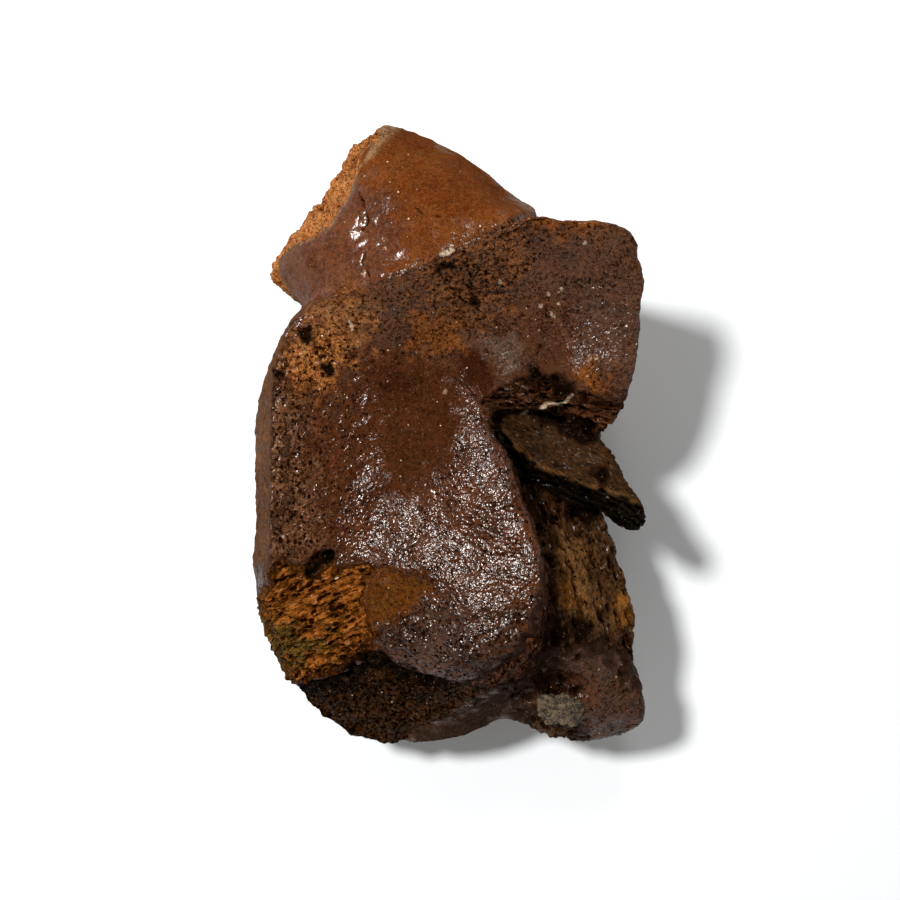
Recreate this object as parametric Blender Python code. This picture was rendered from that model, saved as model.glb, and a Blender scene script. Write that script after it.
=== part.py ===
"""Section of a fossil mammoth leg bone: the elbow end of the forearm bone.

It lies on a broken flat face with its joint surface up. +Y runs towards the elbow's point, +X towards
the outer side, and +Z is up. Lengths in this file are millimetres until they become mesh coordinates.
"""

import math

import bmesh
import bpy
import numpy as np
from mathutils import Matrix, Vector, noise
from mathutils.bvhtree import BVHTree

MM = 0.001

# Driving dimensions. The rows below were read at these sizes, and everything scales with them.
BONE_LENGTH = 262.0
READ_LENGTH = 262.0
SIZE = BONE_LENGTH / READ_LENGTH

# How the broken pieces of the shape are made one grown surface.
WALL_VOXEL = 2.0
VOXEL = 1.5
SOFTENING_PASSES = 4
LUMP_SPACING = 24.0
LUMP_HEIGHT = 1.6
MOST_TRIANGLES = 9200
FLOOR_LEVEL = 1.0

# How finely the loops and surfaces are drawn before they are joined.
LOOP_POINTS = 120
GRID_STEP = 4.0
BLOCK_DEPTH = 140.0
HEADROOM = 40.0

# The hidden flanks: how far down each ring is, how they curve in, and how unevenly they swell.
FLANK_STEPS = (1.0, 0.8, 0.6, 0.4, 0.2)
FLANK_CURVE = 1.7
FLANK_SPACING = 34.0
FLANK_SWELL = 9.0

# The rim of the joint surface, once round from the inner end of its upper crest.
# Each row: x, y, z of the rim, then how far the flank under it stands out and how far down that is.
JOINT_RIM = [
    (-57, 56, 112, 3, 22),
    (-66, 45, 110, 3, 26),
    (-70, 24, 108, 9, 32),
    (-71, -4, 106, 11, 34),
    (-72, -32, 104, 10, 34),
    (-73, -58, 98, 9, 30),
    (-69, -78, 88, 9, 24),
    (-60, -96, 76, 9, 18),
    (-45, -108, 67, 12, 14),
    (-22, -115, 63, 13, 12),
    (2, -107, 77, 17, 22),
    (18, -94, 97, 18, 36),
    (27, -85, 106, 14, 34),
    (33, -76, 112, 9, 32),
    (37, -62, 116, 5, 34),
    (38, -50, 117, 3, 36),
    (33, -32, 114, 2, 40),
    (27, -14, 111, 1, 40),
    (21, 4, 107, 0, 36),
    (15, 17, 104, 0, 30),
    (21, 15, 101, -5, 24),
    (38, 15, 100, -9, 26),
    (50, 10, 95, -9, 24),
    (57, 7, 93, -9, 24),
    (62, 5, 92, -9, 24),
    (69, 15, 100, -7, 28),
    (73, 29, 106, -5, 30),
    (75, 43, 112, -4, 34),
    (75, 57, 118, -4, 38),
    (76, 65, 122, -5, 40),
    (73, 72, 126, -5, 42),
    (72, 80, 130, -6, 44),
    (67, 84, 132, -6, 44),
    (58, 87, 133, -4, 44),
    (42, 88, 134, -4, 40),
    (30, 89, 134, -3, 30),
    (11, 81, 132, -2, 20),
    (-8, 73, 128, -2, 20),
    (-26, 67, 123, -2, 20),
    (-43, 62, 118, -1, 18),
]
# Heights inside the rim: the large inner facet, the saddle between the facets, and the outer facet.
JOINT_HEIGHTS = [
    (-40, 15, 99),
    (-18, -8, 98),
    (-42, -42, 97),
    (-16, -50, 104),
    (10, -38, 109),
    (22, -56, 114),
    (0, -66, 109),
    (12, -78, 112),
    (-12, -72, 102),
    (-50, -88, 84),
    (-37, -84, 89),
    (-20, -85, 93),
    (-5, -89, 97),
    (-50, -95, 78),
    (-36, -92, 80),
    (-19, -94, 80),
    (-3, -98, 85),
    (-20, 44, 105),
    (6, 32, 99),
    (6, 60, 113),
    (30, 40, 104),
    (30, 22, 104),
    (56, 24, 106),
    (56, 44, 108),
    (50, 68, 117),
]
JOINT_FOOT = (22, 0.74, 0, 0)

# The elbow's point, behind the crest. Its inner side is cut away further on.
POINT_RIM = [
    (-57, 58, 96, 0, 25),
    (-68, 66, 88, 0, 25),
    (-77, 76, 84, 0, 25),
    (-74, 92, 82, 0, 25),
    (-62, 106, 82, 0, 25),
    (-52, 117, 82, 0, 25),
    (-45, 127, 84, 0, 25),
    (-32, 133, 86, 0, 25),
    (-18, 131, 86, 1, 30),
    (-4, 125, 88, 1, 30),
    (11, 116, 92, 0, 30),
    (24, 103, 98, -1, 32),
    (33, 94, 112, -3, 34),
    (32, 86, 127, 0, 40),
    (11, 78, 126, 0, 40),
    (-8, 70, 122, 0, 36),
    (-26, 64, 117, 0, 32),
    (-43, 59, 112, 0, 28),
]
POINT_HEIGHTS = [
    (-25, 128, 98),
    (-33, 115, 105),
    (-39, 104, 108),
    (-53, 85, 105),
    (-66, 78, 97),
    (-60, 69, 101),
    (-50, 66, 106),
    (-43, 92, 108),
    (-34, 84, 111),
    (-26, 77, 116),
    (-26, 70, 120),
    (-8, 78, 124),
    (10, 85, 129),
    (24, 91, 129),
    (-8, 102, 119),
    (10, 102, 117),
    (-24, 108, 114),
]
POINT_FOOT = (22, 0.55, 14, -40)

# The broken side of the elbow's point: its edge at three levels, and the corner points beyond it.
BREAK_LOW = [
    (-19, 138),
    (-28, 131),
    (-37, 122),
    (-44, 112),
    (-49, 103),
    (-58, 92),
    (-65, 83),
    (-70, 76),
    (-74, 60),
]
BREAK_MIDDLE = [
    (-20, 138),
    (-31, 132),
    (-41, 125),
    (-47, 114),
    (-51, 106),
    (-60, 96),
    (-68, 86),
    (-72, 78),
    (-77, 62),
]
BREAK_HIGH = [
    (-14, 136),
    (-23, 124),
    (-31, 112),
    (-35, 102),
    (-39, 92),
    (-50, 82),
    (-59, 77),
    (-66, 73),
    (-74, 60),
]
BREAK_BEYOND = [(-110, 60), (-110, 160), (-20, 160)]
BREAK_LEVELS = (20.0, 82.0, 114.0)

# The shaft under the joint, widest just below it, down to the broken flat that the bone rests on.
SHAFT_RIM = [
    (62, -18, 80, 0, 24),
    (68, -39, 80, 0, 24),
    (72, -54, 79, 0, 24),
    (76, -68, 77, 0, 24),
    (77, -79, 76, 0, 24),
    (75, -87, 75, 0, 24),
    (79, -96, 73, 0, 22),
    (83, -107, 70, 0, 20),
    (82, -116, 65, 0, 18),
    (73, -121, 60, 0, 16),
    (60, -125, 56, 0, 16),
    (46, -124, 55, 0, 16),
    (36, -120, 56, 0, 18),
    (27, -116, 58, 1, 20),
    (14, -112, 62, 3, 24),
    (-6, -110, 56, 4, 24),
    (-35, -104, 55, 4, 24),
    (-60, -80, 60, 4, 26),
    (-68, -40, 62, 4, 28),
    (-66, 10, 66, 4, 30),
    (-60, 46, 66, 2, 30),
    (-40, 80, 66, 2, 30),
    (0, 92, 68, 2, 30),
    (40, 78, 72, 0, 30),
    (60, 50, 76, -2, 30),
    (62, 10, 78, -2, 30),
]
SHAFT_HEIGHTS = [
    (46, -26, 80),
    (58, -30, 77),
    (44, -45, 91),
    (57, -50, 86),
    (45, -61, 93),
    (61, -68, 84),
    (50, -80, 89),
    (60, -88, 84),
    (44, -97, 76),
    (32, -105, 72),
    (46, -108, 76),
    (64, -105, 76),
    (62, -116, 69),
    (0, 0, 78),
    (-30, -60, 72),
]
SHAFT_FOOT = (0, 0.66, 0, 0)

# The splinter that stands out of the hollow between the two facets, and the torn layer below it.
SPLINTER_RIM = [
    (8, 22, 90, 0, 10),
    (32, 17, 92, 0, 10),
    (52, 8, 95, 0, 9),
    (61, 4, 97, 0, 9),
    (66, -2, 98, 0, 8),
    (70, -10, 99, 0, 8),
    (73, -16, 100, 0, 8),
    (78, -25, 101, -1, 8),
    (76, -31, 99, -2, 8),
    (70, -28, 99, -3, 8),
    (63, -19, 101, -3, 10),
    (52, -15, 99, -3, 11),
    (40, -10, 97, -3, 12),
    (28, -2, 95, -3, 12),
    (20, 4, 94, -2, 12),
    (8, 10, 93, 0, 12),
]
SPLINTER_HEIGHTS = [(30, 7, 92), (45, 2, 93), (60, -9, 97)]
SPLINTER_FOOT = (80, 0.85, 0, 0)
LAYER_RIM = [
    (14, 10, 88, 0, 4),
    (36, 0, 88, 0, 4),
    (54, -10, 89, 0, 4),
    (63, -18, 90, 0, 4),
    (61, -24, 90, 0, 4),
    (49, -21, 89, 0, 4),
    (36, -15, 87, 0, 4),
    (24, -7, 86, 0, 4),
    (14, 2, 86, 0, 4),
]
LAYER_HEIGHTS = [(40, -8, 89)]
LAYER_FOOT = (80, 0.85, 0, 0)

# Hollows and torn grooves: the surface each is in, x, y and the height of its middle above that surface,
# then half length, half width, half depth, and turn in degrees.
HOLLOWS = [
    ("joint", -24, -94, 3, 24, 5, 7, 4),
    ("joint", -52, -44, 0, 7, 3.2, 7, 30),
    ("joint", 54, 15, 1, 17, 1.8, 3.2, -12),
    ("joint", 58, 9, 1, 14, 1.8, 3.2, -17),
    ("shaft", 45, -97, 5, 12, 6, 10, -5),
    ("shaft", 32, -106, 3, 6, 9, 7, -30),
    ("shaft", 54, -56, 3, 27, 4.5, 5.4, -78),
    ("shaft", 66, -60, 3, 20, 4, 5.2, -73),
]

# The crust of sediment on the shaft: its outline, how thick it is, and the gap under it.
CRUST_OUTLINE = [
    (37, -104),
    (40, -102),
    (44, -103),
    (47, -101),
    (51, -103),
    (55, -105),
    (55, -110),
    (53, -115),
    (50, -117),
    (46, -115),
    (42, -116),
    (39, -113),
    (37, -109),
]
CRUST_THICKNESS = 2.2
CRUST_EDGE = 0.7
CRUST_LOBES = 0.7
CRUST_LOBE_SPACING = 3.2
CRUST_GAP = 0.35
CRUST_POINTS = 30
CRUST_RINGS = (0.93, 0.8, 0.62, 0.42, 0.2)


def thin_plate(rows):
    """The smooth height z(x, y) that passes through every row's x, y, z."""
    known = np.array([row[:3] for row in rows], float)

    def pull(a, b):
        squared = ((a[:, None, :] - b[None, :, :]) ** 2).sum(2)
        return squared * np.log(squared + 1e-9)

    count = len(known)
    flat = np.c_[np.ones(count), known[:, :2]]
    system = np.zeros((count + 3, count + 3))
    system[:count, :count] = pull(known[:, :2], known[:, :2]) + 6.0 * np.eye(count)
    system[:count, count:] = flat
    system[count:, :count] = flat.T
    weights = np.linalg.solve(system, np.r_[known[:, 2], np.zeros(3)])

    def height(places):
        places = np.asarray(places, float)
        bent = pull(places, known[:, :2]) @ weights[:count]
        return bent + np.c_[np.ones(len(places)), places] @ weights[count:]

    return height


def smooth_loop(rows, count=LOOP_POINTS):
    """A closed curve through the rows, drawn with count points evenly spaced in plan."""
    rows = np.array(rows, float)
    fine = []
    for i in range(len(rows)):
        a, b, c, d = (rows[(i + k) % len(rows)] for k in (-1, 0, 1, 2))
        for t in np.linspace(0.0, 1.0, 16, endpoint=False):
            bend = (2 * a - 5 * b + 4 * c - d) * t**2 + (3 * b - a - 3 * c + d) * t**3
            fine.append(0.5 * (2 * b + (c - a) * t + bend))
    fine = np.array(fine)
    step = np.linalg.norm(np.roll(fine, -1, 0)[:, :2] - fine[:, :2], axis=1)
    along = np.r_[0.0, np.cumsum(step)]
    ring = np.vstack([fine, fine[:1]])
    wanted = np.linspace(0.0, along[-1], count, endpoint=False)
    return np.column_stack([np.interp(wanted, along, ring[:, k]) for k in range(ring.shape[1])])


def outward(loop):
    """Unit vectors in plan that point out of an anticlockwise loop."""
    run = np.roll(loop, -2, 0)[:, :2] - np.roll(loop, 2, 0)[:, :2]
    out = np.c_[run[:, 1], -run[:, 0]]
    return out / np.linalg.norm(out, axis=1)[:, None]


def new_object(name, bm):
    """An object from a bmesh drawn in millimetres."""
    bmesh.ops.recalc_face_normals(bm, faces=bm.faces)
    bmesh.ops.scale(bm, vec=(MM * SIZE,) * 3, verts=bm.verts)
    mesh = bpy.data.meshes.new(name)
    bm.to_mesh(mesh)
    bm.free()
    made = bpy.data.objects.new(name, mesh)
    bpy.context.scene.collection.objects.link(made)
    return made


def hide(helper):
    helper.hide_render = True
    helper.display_type = "WIRE"


def loft(name, rings):
    """A closed solid through the rings, each with the same number of points, lowest ring first."""
    bm = bmesh.new()
    drawn = []
    for ring in rings:
        verts = [bm.verts.new(point) for point in ring]
        edges = [bm.edges.new((verts[i], verts[(i + 1) % len(verts)])) for i in range(len(verts))]
        if drawn:
            bmesh.ops.bridge_loops(bm, edges=drawn + edges)
        else:
            bm.faces.new(verts)
        drawn = edges
    bm.faces.new(verts)
    bmesh.ops.triangulate(bm, faces=[face for face in bm.faces if len(face.verts) > 4])
    return new_object(name, bm)


def wall(name, rim, foot):
    """A closed solid whose side runs from its foot, out over the flank, to the rim and straight up."""
    loop = smooth_loop(rim)
    out = outward(loop)
    centre = loop[:, :2].mean(0)
    flank = np.c_[loop[:, :2] + out * loop[:, 3:4], loop[:, 2] - loop[:, 4]]
    z, share, dx, dy = foot
    foot_plan = centre + (dx, dy) + (flank[:, :2] - centre) * share
    low = np.c_[foot_plan, np.full(len(loop), float(z))]
    rings = []
    for depth in FLANK_STEPS:
        inward = depth**FLANK_CURVE
        plan = flank[:, :2] * (1 - inward) + low[:, :2] * inward
        ring = np.c_[plan, flank[:, 2] * (1 - depth) + low[:, 2] * depth]
        swell = [noise.noise(Vector(point) / FLANK_SPACING) for point in ring]
        ring[:, :2] += out * (np.array(swell) * FLANK_SWELL * min(1.0, 3.0 * depth))[:, None]
        rings.append(ring)
    rings += [flank, loop[:, :3], loop[:, :3] + (0.0, 0.0, HEADROOM)]
    return loft(name, rings)


def block_under(name, rim, heights):
    """A closed block whose top is the thin-plate surface through the rim and the heights inside it."""
    height = thin_plate(list(rim) + list(heights))
    corners = np.array([row[:2] for row in rim], float)
    low, high = corners.min(0) - 16.0, corners.max(0) + 16.0
    cells = np.ceil((high - low) / GRID_STEP).astype(int)
    bm = bmesh.new()
    bmesh.ops.create_grid(bm, x_segments=int(cells[0]), y_segments=int(cells[1]), size=0.5)
    middle = (low + high) / 2
    bmesh.ops.scale(bm, vec=(*(high - low), 1.0), verts=bm.verts)
    bmesh.ops.translate(bm, vec=(*middle, 0.0), verts=bm.verts)
    tops = height([vert.co[:2] for vert in bm.verts])
    for vert, top in zip(bm.verts, tops):
        vert.co.z = top
    lowered = bmesh.ops.extrude_face_region(bm, geom=list(bm.faces), use_keep_orig=True)["geom"]
    for vert in lowered:
        if isinstance(vert, bmesh.types.BMVert):
            vert.co.z = -BLOCK_DEPTH
    return new_object(name, bm)


def combine(target, other, operation):
    """Keeps what the target shares with another solid, or takes the other away, and hides it."""
    modifier = target.modifiers.new(other.name, "BOOLEAN")
    modifier.operation = operation
    modifier.object = other
    modifier.solver = "EXACT"
    hide(other)


def regrow(target, voxel):
    """Makes one clean surface of solids that overlap."""
    modifier = target.modifiers.new("grown together", "REMESH")
    modifier.mode = "VOXEL"
    modifier.voxel_size = voxel * MM


def lump(name, rim, heights, foot):
    """One main form of the bone: its wall, with everything above its top surface cut away."""
    made = wall(name, rim, foot)
    regrow(made, WALL_VOXEL)
    combine(made, block_under(name + "_top", rim, heights), "INTERSECT")
    for number, (surface, *row) in enumerate(HOLLOWS):
        if surface == name:
            cutter = hollow(f"{name}_hollow_{number}", thin_plate(rim + heights), row)
            combine(made, cutter, "DIFFERENCE")
    return made


def joined(name, lumps):
    """The finished lumps as one object. They still overlap."""
    bpy.context.view_layer.update()
    graph = bpy.context.evaluated_depsgraph_get()
    bm = bmesh.new()
    for each in lumps:
        bm.from_mesh(each.evaluated_get(graph).to_mesh())
        hide(each)
    mesh = bpy.data.meshes.new(name)
    bm.to_mesh(mesh)
    bm.free()
    made = bpy.data.objects.new(name, mesh)
    bpy.context.scene.collection.objects.link(made)
    return made


def break_block():
    """What has broken away beside the elbow's point."""
    rings = []
    for outline, z in zip((BREAK_LOW, BREAK_MIDDLE, BREAK_HIGH), BREAK_LEVELS):
        rings.append([(x, y, z) for x, y in outline + BREAK_BEYOND])
    rings.insert(0, [(x, y, -20.0) for x, y, z in rings[0]])
    return loft("broken_side", rings)


def hollow(name, height, row):
    """One rounded hollow in a surface, as the solid that it takes away."""
    x, y, lift, half_length, half_width, half_depth, turn = row
    z = float(height([(x, y)])[0]) + lift
    bm = bmesh.new()
    bmesh.ops.create_uvsphere(bm, u_segments=24, v_segments=14, radius=1.0)
    bmesh.ops.scale(bm, vec=(half_length, half_width, half_depth), verts=bm.verts)
    bmesh.ops.rotate(bm, matrix=Matrix.Rotation(math.radians(turn), 3, "Z"), verts=bm.verts)
    bmesh.ops.translate(bm, vec=(x, y, z), verts=bm.verts)
    return new_object(name, bm)


def sediment_crust(bone):
    """The crust: rings over the finished bone, raised by the gap and domed, with small lobes on top."""
    bpy.context.view_layer.update()
    finished = bone.evaluated_get(bpy.context.evaluated_depsgraph_get()).to_mesh()
    places = [vert.co for vert in finished.vertices]
    tree = BVHTree.FromPolygons(places, [face.vertices for face in finished.polygons])
    edge = smooth_loop([(x, y, 0.0) for x, y in CRUST_OUTLINE], CRUST_POINTS)[:, :2]
    centre = edge.mean(0)

    def under(x, y):
        around = [(0.0, 0.0), (1.0, 0.0), (-1.0, 0.0), (0.0, 1.0), (0.0, -1.0)]
        starts = [Vector((x + dx, y + dy, 300.0)) * MM * SIZE for dx, dy in around]
        hits = [tree.ray_cast(start, Vector((0.0, 0.0, -1.0)))[0].z for start in starts]
        return max(hits) / (MM * SIZE) + CRUST_GAP

    bm = bmesh.new()
    below = []
    above = []
    for share in (1.0, *CRUST_RINGS):
        ring = centre + (edge - centre) * share
        heights = [under(x, y) for x, y in ring]
        below.append([bm.verts.new((x, y, z)) for (x, y), z in zip(ring, heights)])
        dome = CRUST_EDGE + (CRUST_THICKNESS - CRUST_EDGE) * (1 - share**4) ** 0.5
        raised = []
        for (x, y), z in zip(ring, heights):
            lobes = CRUST_LOBES * noise.noise(Vector((x, y, 0.0)) / CRUST_LOBE_SPACING)
            raised.append(bm.verts.new((x, y, z + dome + lobes)))
        above.append(raised)
    middle_low = bm.verts.new((*centre, under(*centre)))
    middle_high = bm.verts.new((*centre, under(*centre) + CRUST_THICKNESS))
    for i in range(CRUST_POINTS):
        k = (i + 1) % CRUST_POINTS
        for rings in (below, above):
            for outer, inner in zip(rings, rings[1:]):
                bm.faces.new((outer[i], outer[k], inner[k]))
                bm.faces.new((outer[i], inner[k], inner[i]))
        bm.faces.new((below[0][i], below[0][k], above[0][k]))
        bm.faces.new((below[0][i], above[0][k], above[0][i]))
        bm.faces.new((below[-1][i], below[-1][k], middle_low))
        bm.faces.new((above[-1][i], above[-1][k], middle_high))
    return new_object("sediment_crust", bm)


def plain_material(name, colour, roughness):
    material = bpy.data.materials.new(name)
    material.use_nodes = True
    shader = material.node_tree.nodes["Principled BSDF"]
    shader.inputs["Base Color"].default_value = (*colour, 1.0)
    shader.inputs["Roughness"].default_value = roughness
    shader.inputs["Metallic"].default_value = 0.0
    return material


def soften(bone):
    """Turns the joined lumps into one grown surface, naturally uneven and within the triangle limit."""
    regrow(bone, VOXEL)
    smooth = bone.modifiers.new("softened edges", "SMOOTH")
    smooth.factor = 0.5
    smooth.iterations = SOFTENING_PASSES
    clouds = bpy.data.textures.new("gentle lumps", "CLOUDS")
    clouds.noise_scale = LUMP_SPACING * MM
    clouds.noise_depth = 2
    uneven = bone.modifiers.new("unevenness", "DISPLACE")
    uneven.texture = clouds
    uneven.strength = LUMP_HEIGHT * MM
    uneven.mid_level = 0.5
    bpy.context.view_layer.update()
    shown = bone.evaluated_get(bpy.context.evaluated_depsgraph_get()).data
    triangles = sum(len(face.vertices) - 2 for face in shown.polygons)
    fewer = bone.modifiers.new("fewer faces", "DECIMATE")
    fewer.ratio = MOST_TRIANGLES / triangles


def floor_block():
    """Everything below the broken flat that the bone rests on."""
    bm = bmesh.new()
    bmesh.ops.create_cube(bm, size=400.0)
    bmesh.ops.translate(bm, vec=(0.0, 0.0, FLOOR_LEVEL - 200.0), verts=bm.verts)
    return new_object("below_the_rest", bm)


def rest_at_origin(bone):
    """Moves everything so that the middle of the finished bone's bottom is the origin."""
    bpy.context.view_layer.update()
    shown = bone.evaluated_get(bpy.context.evaluated_depsgraph_get()).to_mesh()
    points = np.array([vert.co[:] for vert in shown.vertices])
    low, high = points.min(0), points.max(0)
    shift = Vector((-(low[0] + high[0]) / 2, -(low[1] + high[1]) / 2, -low[2]))
    for each in bpy.data.objects:
        each.location += shift


def build():
    for leftover in list(bpy.data.objects):
        bpy.data.objects.remove(leftover)
    shaft = lump("shaft", SHAFT_RIM, SHAFT_HEIGHTS, SHAFT_FOOT)
    joint = lump("joint", JOINT_RIM, JOINT_HEIGHTS, JOINT_FOOT)
    point = lump("point", POINT_RIM, POINT_HEIGHTS, POINT_FOOT)
    combine(point, break_block(), "DIFFERENCE")
    splinter = lump("splinter", SPLINTER_RIM, SPLINTER_HEIGHTS, SPLINTER_FOOT)
    layer = lump("layer", LAYER_RIM, LAYER_HEIGHTS, LAYER_FOOT)
    bone = joined("bone", [shaft, joint, point, splinter, layer])
    soften(bone)
    combine(bone, floor_block(), "DIFFERENCE")
    crust = sediment_crust(bone)
    rest_at_origin(bone)
    bone.data.materials.append(plain_material("stained fossil bone", (0.085, 0.034, 0.014), 0.38))
    crust.data.materials.append(plain_material("dried grey sediment", (0.24, 0.2, 0.14), 0.9))


build()
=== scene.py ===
"""The looks of a section of fossil mammoth leg bone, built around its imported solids.

Lengths are millimetres unless a comment says otherwise, in the frame of the solids: +Y towards the
elbow's point, +X towards the outer side, +Z up. MM turns them into Blender's metres.
"""

import math

import bmesh
import bpy
import numpy as np
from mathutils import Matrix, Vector, noise


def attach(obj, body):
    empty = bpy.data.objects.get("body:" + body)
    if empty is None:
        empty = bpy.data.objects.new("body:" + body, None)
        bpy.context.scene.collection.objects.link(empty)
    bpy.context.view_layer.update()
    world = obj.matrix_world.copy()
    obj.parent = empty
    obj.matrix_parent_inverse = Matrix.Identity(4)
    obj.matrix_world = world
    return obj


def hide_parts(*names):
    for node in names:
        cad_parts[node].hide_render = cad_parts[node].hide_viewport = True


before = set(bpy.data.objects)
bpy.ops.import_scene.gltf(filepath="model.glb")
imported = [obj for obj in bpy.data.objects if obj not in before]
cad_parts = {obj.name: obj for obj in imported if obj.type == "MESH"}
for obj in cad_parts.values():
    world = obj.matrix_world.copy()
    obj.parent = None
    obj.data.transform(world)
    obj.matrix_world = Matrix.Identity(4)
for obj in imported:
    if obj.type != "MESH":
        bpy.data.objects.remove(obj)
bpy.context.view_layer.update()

MM = 0.001

# Noise vectors differ from run to run unless their seed is set.
noise.seed_set(1)

# How finely each piece is redrawn, and how many times that even mesh is smoothed.
BONE_VOXEL = 0.65
BONE_SOFTENING = 20
CRUST_VOXEL = 0.35
CRUST_SOFTENING = 4

# Triangles that the bone's sides keep when they are thinned first, and then the whole bone.
SIDE_TRIANGLES = 100000
MOST_TRIANGLES = 192000

# Heights on the bone between which its areas lie.
BREAK_PORES_BELOW = 112
CHIPS_ABOVE = 60
FLANK_RIDGE_ABOVE = 55
CREST_ABOVE = 95
POINT_ABOVE = 70
SHAFT_BELOW = 96
SPLINTER_ABOVE = 84
SPLINTER_BELOW = 106
TORN_ABOVE = 84
OCHRE_ABOVE = 70
RUSTY_ABOVE = 66

# How far a vertex is from an area that it can't be in, because of its height or its slope.
OUTSIDE = -9.0

# How high each shape of its own stands over the smooth bone, or how deep it lies.
POINT_SWELLING = 3.4
CORNER_SWELLING = 2.2
LOW_RIM = 6.5
CREST_EDGE = 0.3
CREST_STEP = 1.4
TONGUE_STEP = 1.1
LEDGE_STEP = 2.6
FACET_CRACK_DEPTH = 1.3
CRACK_DEPTH = 0.35
FLANK_RIDGE_HEIGHT = 0.7
SPLINTER_RIDGE_HEIGHT = 0.7
SPLINTER_GAP_DEPTH = 0.9

# The middle in plan of each rounded swelling, and its reach along X and Y.
CORNER = ((75, 84), (7, 7))
POINT = ((-35, 82), (14, 13))
RIM = ((6, -92), (28, 12))

# The camera, and its lens and sensor.
CAMERA_PLACE = (0.38, -3.07, 699.0)
LENS = 60.0
SENSOR = 36.0

# The place that the lamps point at, and how far they stand from it.
LAMPS_AIM = (0.0, -10.0, 50.0)
LAMPS_AWAY = 1600.0

# Each lamp's direction, the width of its disc, and its power in watts.
LAMPS = [
    ("key light", (-0.39, 0.257, 1.0), 200.0, 29.0),
    ("top light", (0.05, 0.75, 1.0), 400.0, 3.5),
]
LAMP_COLOUR = (1.0, 0.98, 0.955)

# Light from the walls and from the ceiling, which is dim so that level faces stay free of haze.
WALL_LIGHT = 1.0
CEILING_LIGHT = 0.07
WALL_COLOUR = (1.0, 0.965, 0.92, 1.0)

# Half the floor's width.
FLOOR_REACH = 3000.0

# Lines on the bone, in plan.
CREST = [
    (-64, 52), (-57, 53), (-50, 57), (-44, 59), (-34, 62), (-25, 64), (-17, 67), (-8, 70), (-3, 72),
    (2, 75), (12, 79), (21, 83), (25, 86), (34, 89), (44, 94),
]
FACET_CRACK = [(-18, 38), (-12, 37), (-8, 34), (-2, 31), (5, 25), (11, 19), (15, 14)]
LEDGE = [
    (-74, -106), (-65, -102), (-55, -98), (-46, -95), (-40, -91), (-36, -88), (-33, -86), (-27, -87),
    (-22, -90), (-14, -92), (-8, -93), (0, -95), (8, -97), (14, -98),
]
FLANK_RIDGE = [
    (-62, 46), (-67, 39), (-69, 33), (-70, 28), (-71, 22), (-71, 2), (-70, -26), (-70, -41), (-71, -49),
    (-74, -58), (-77, -67), (-79, -75),
]
SPLINTER_RIDGE = [(22, 3), (29, -4), (35, -9), (45, -13), (54, -17), (63, -19), (72, -23), (77, -26)]
HOLE = [(-55, -52), (-51, -48), (-48, -45)]

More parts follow.
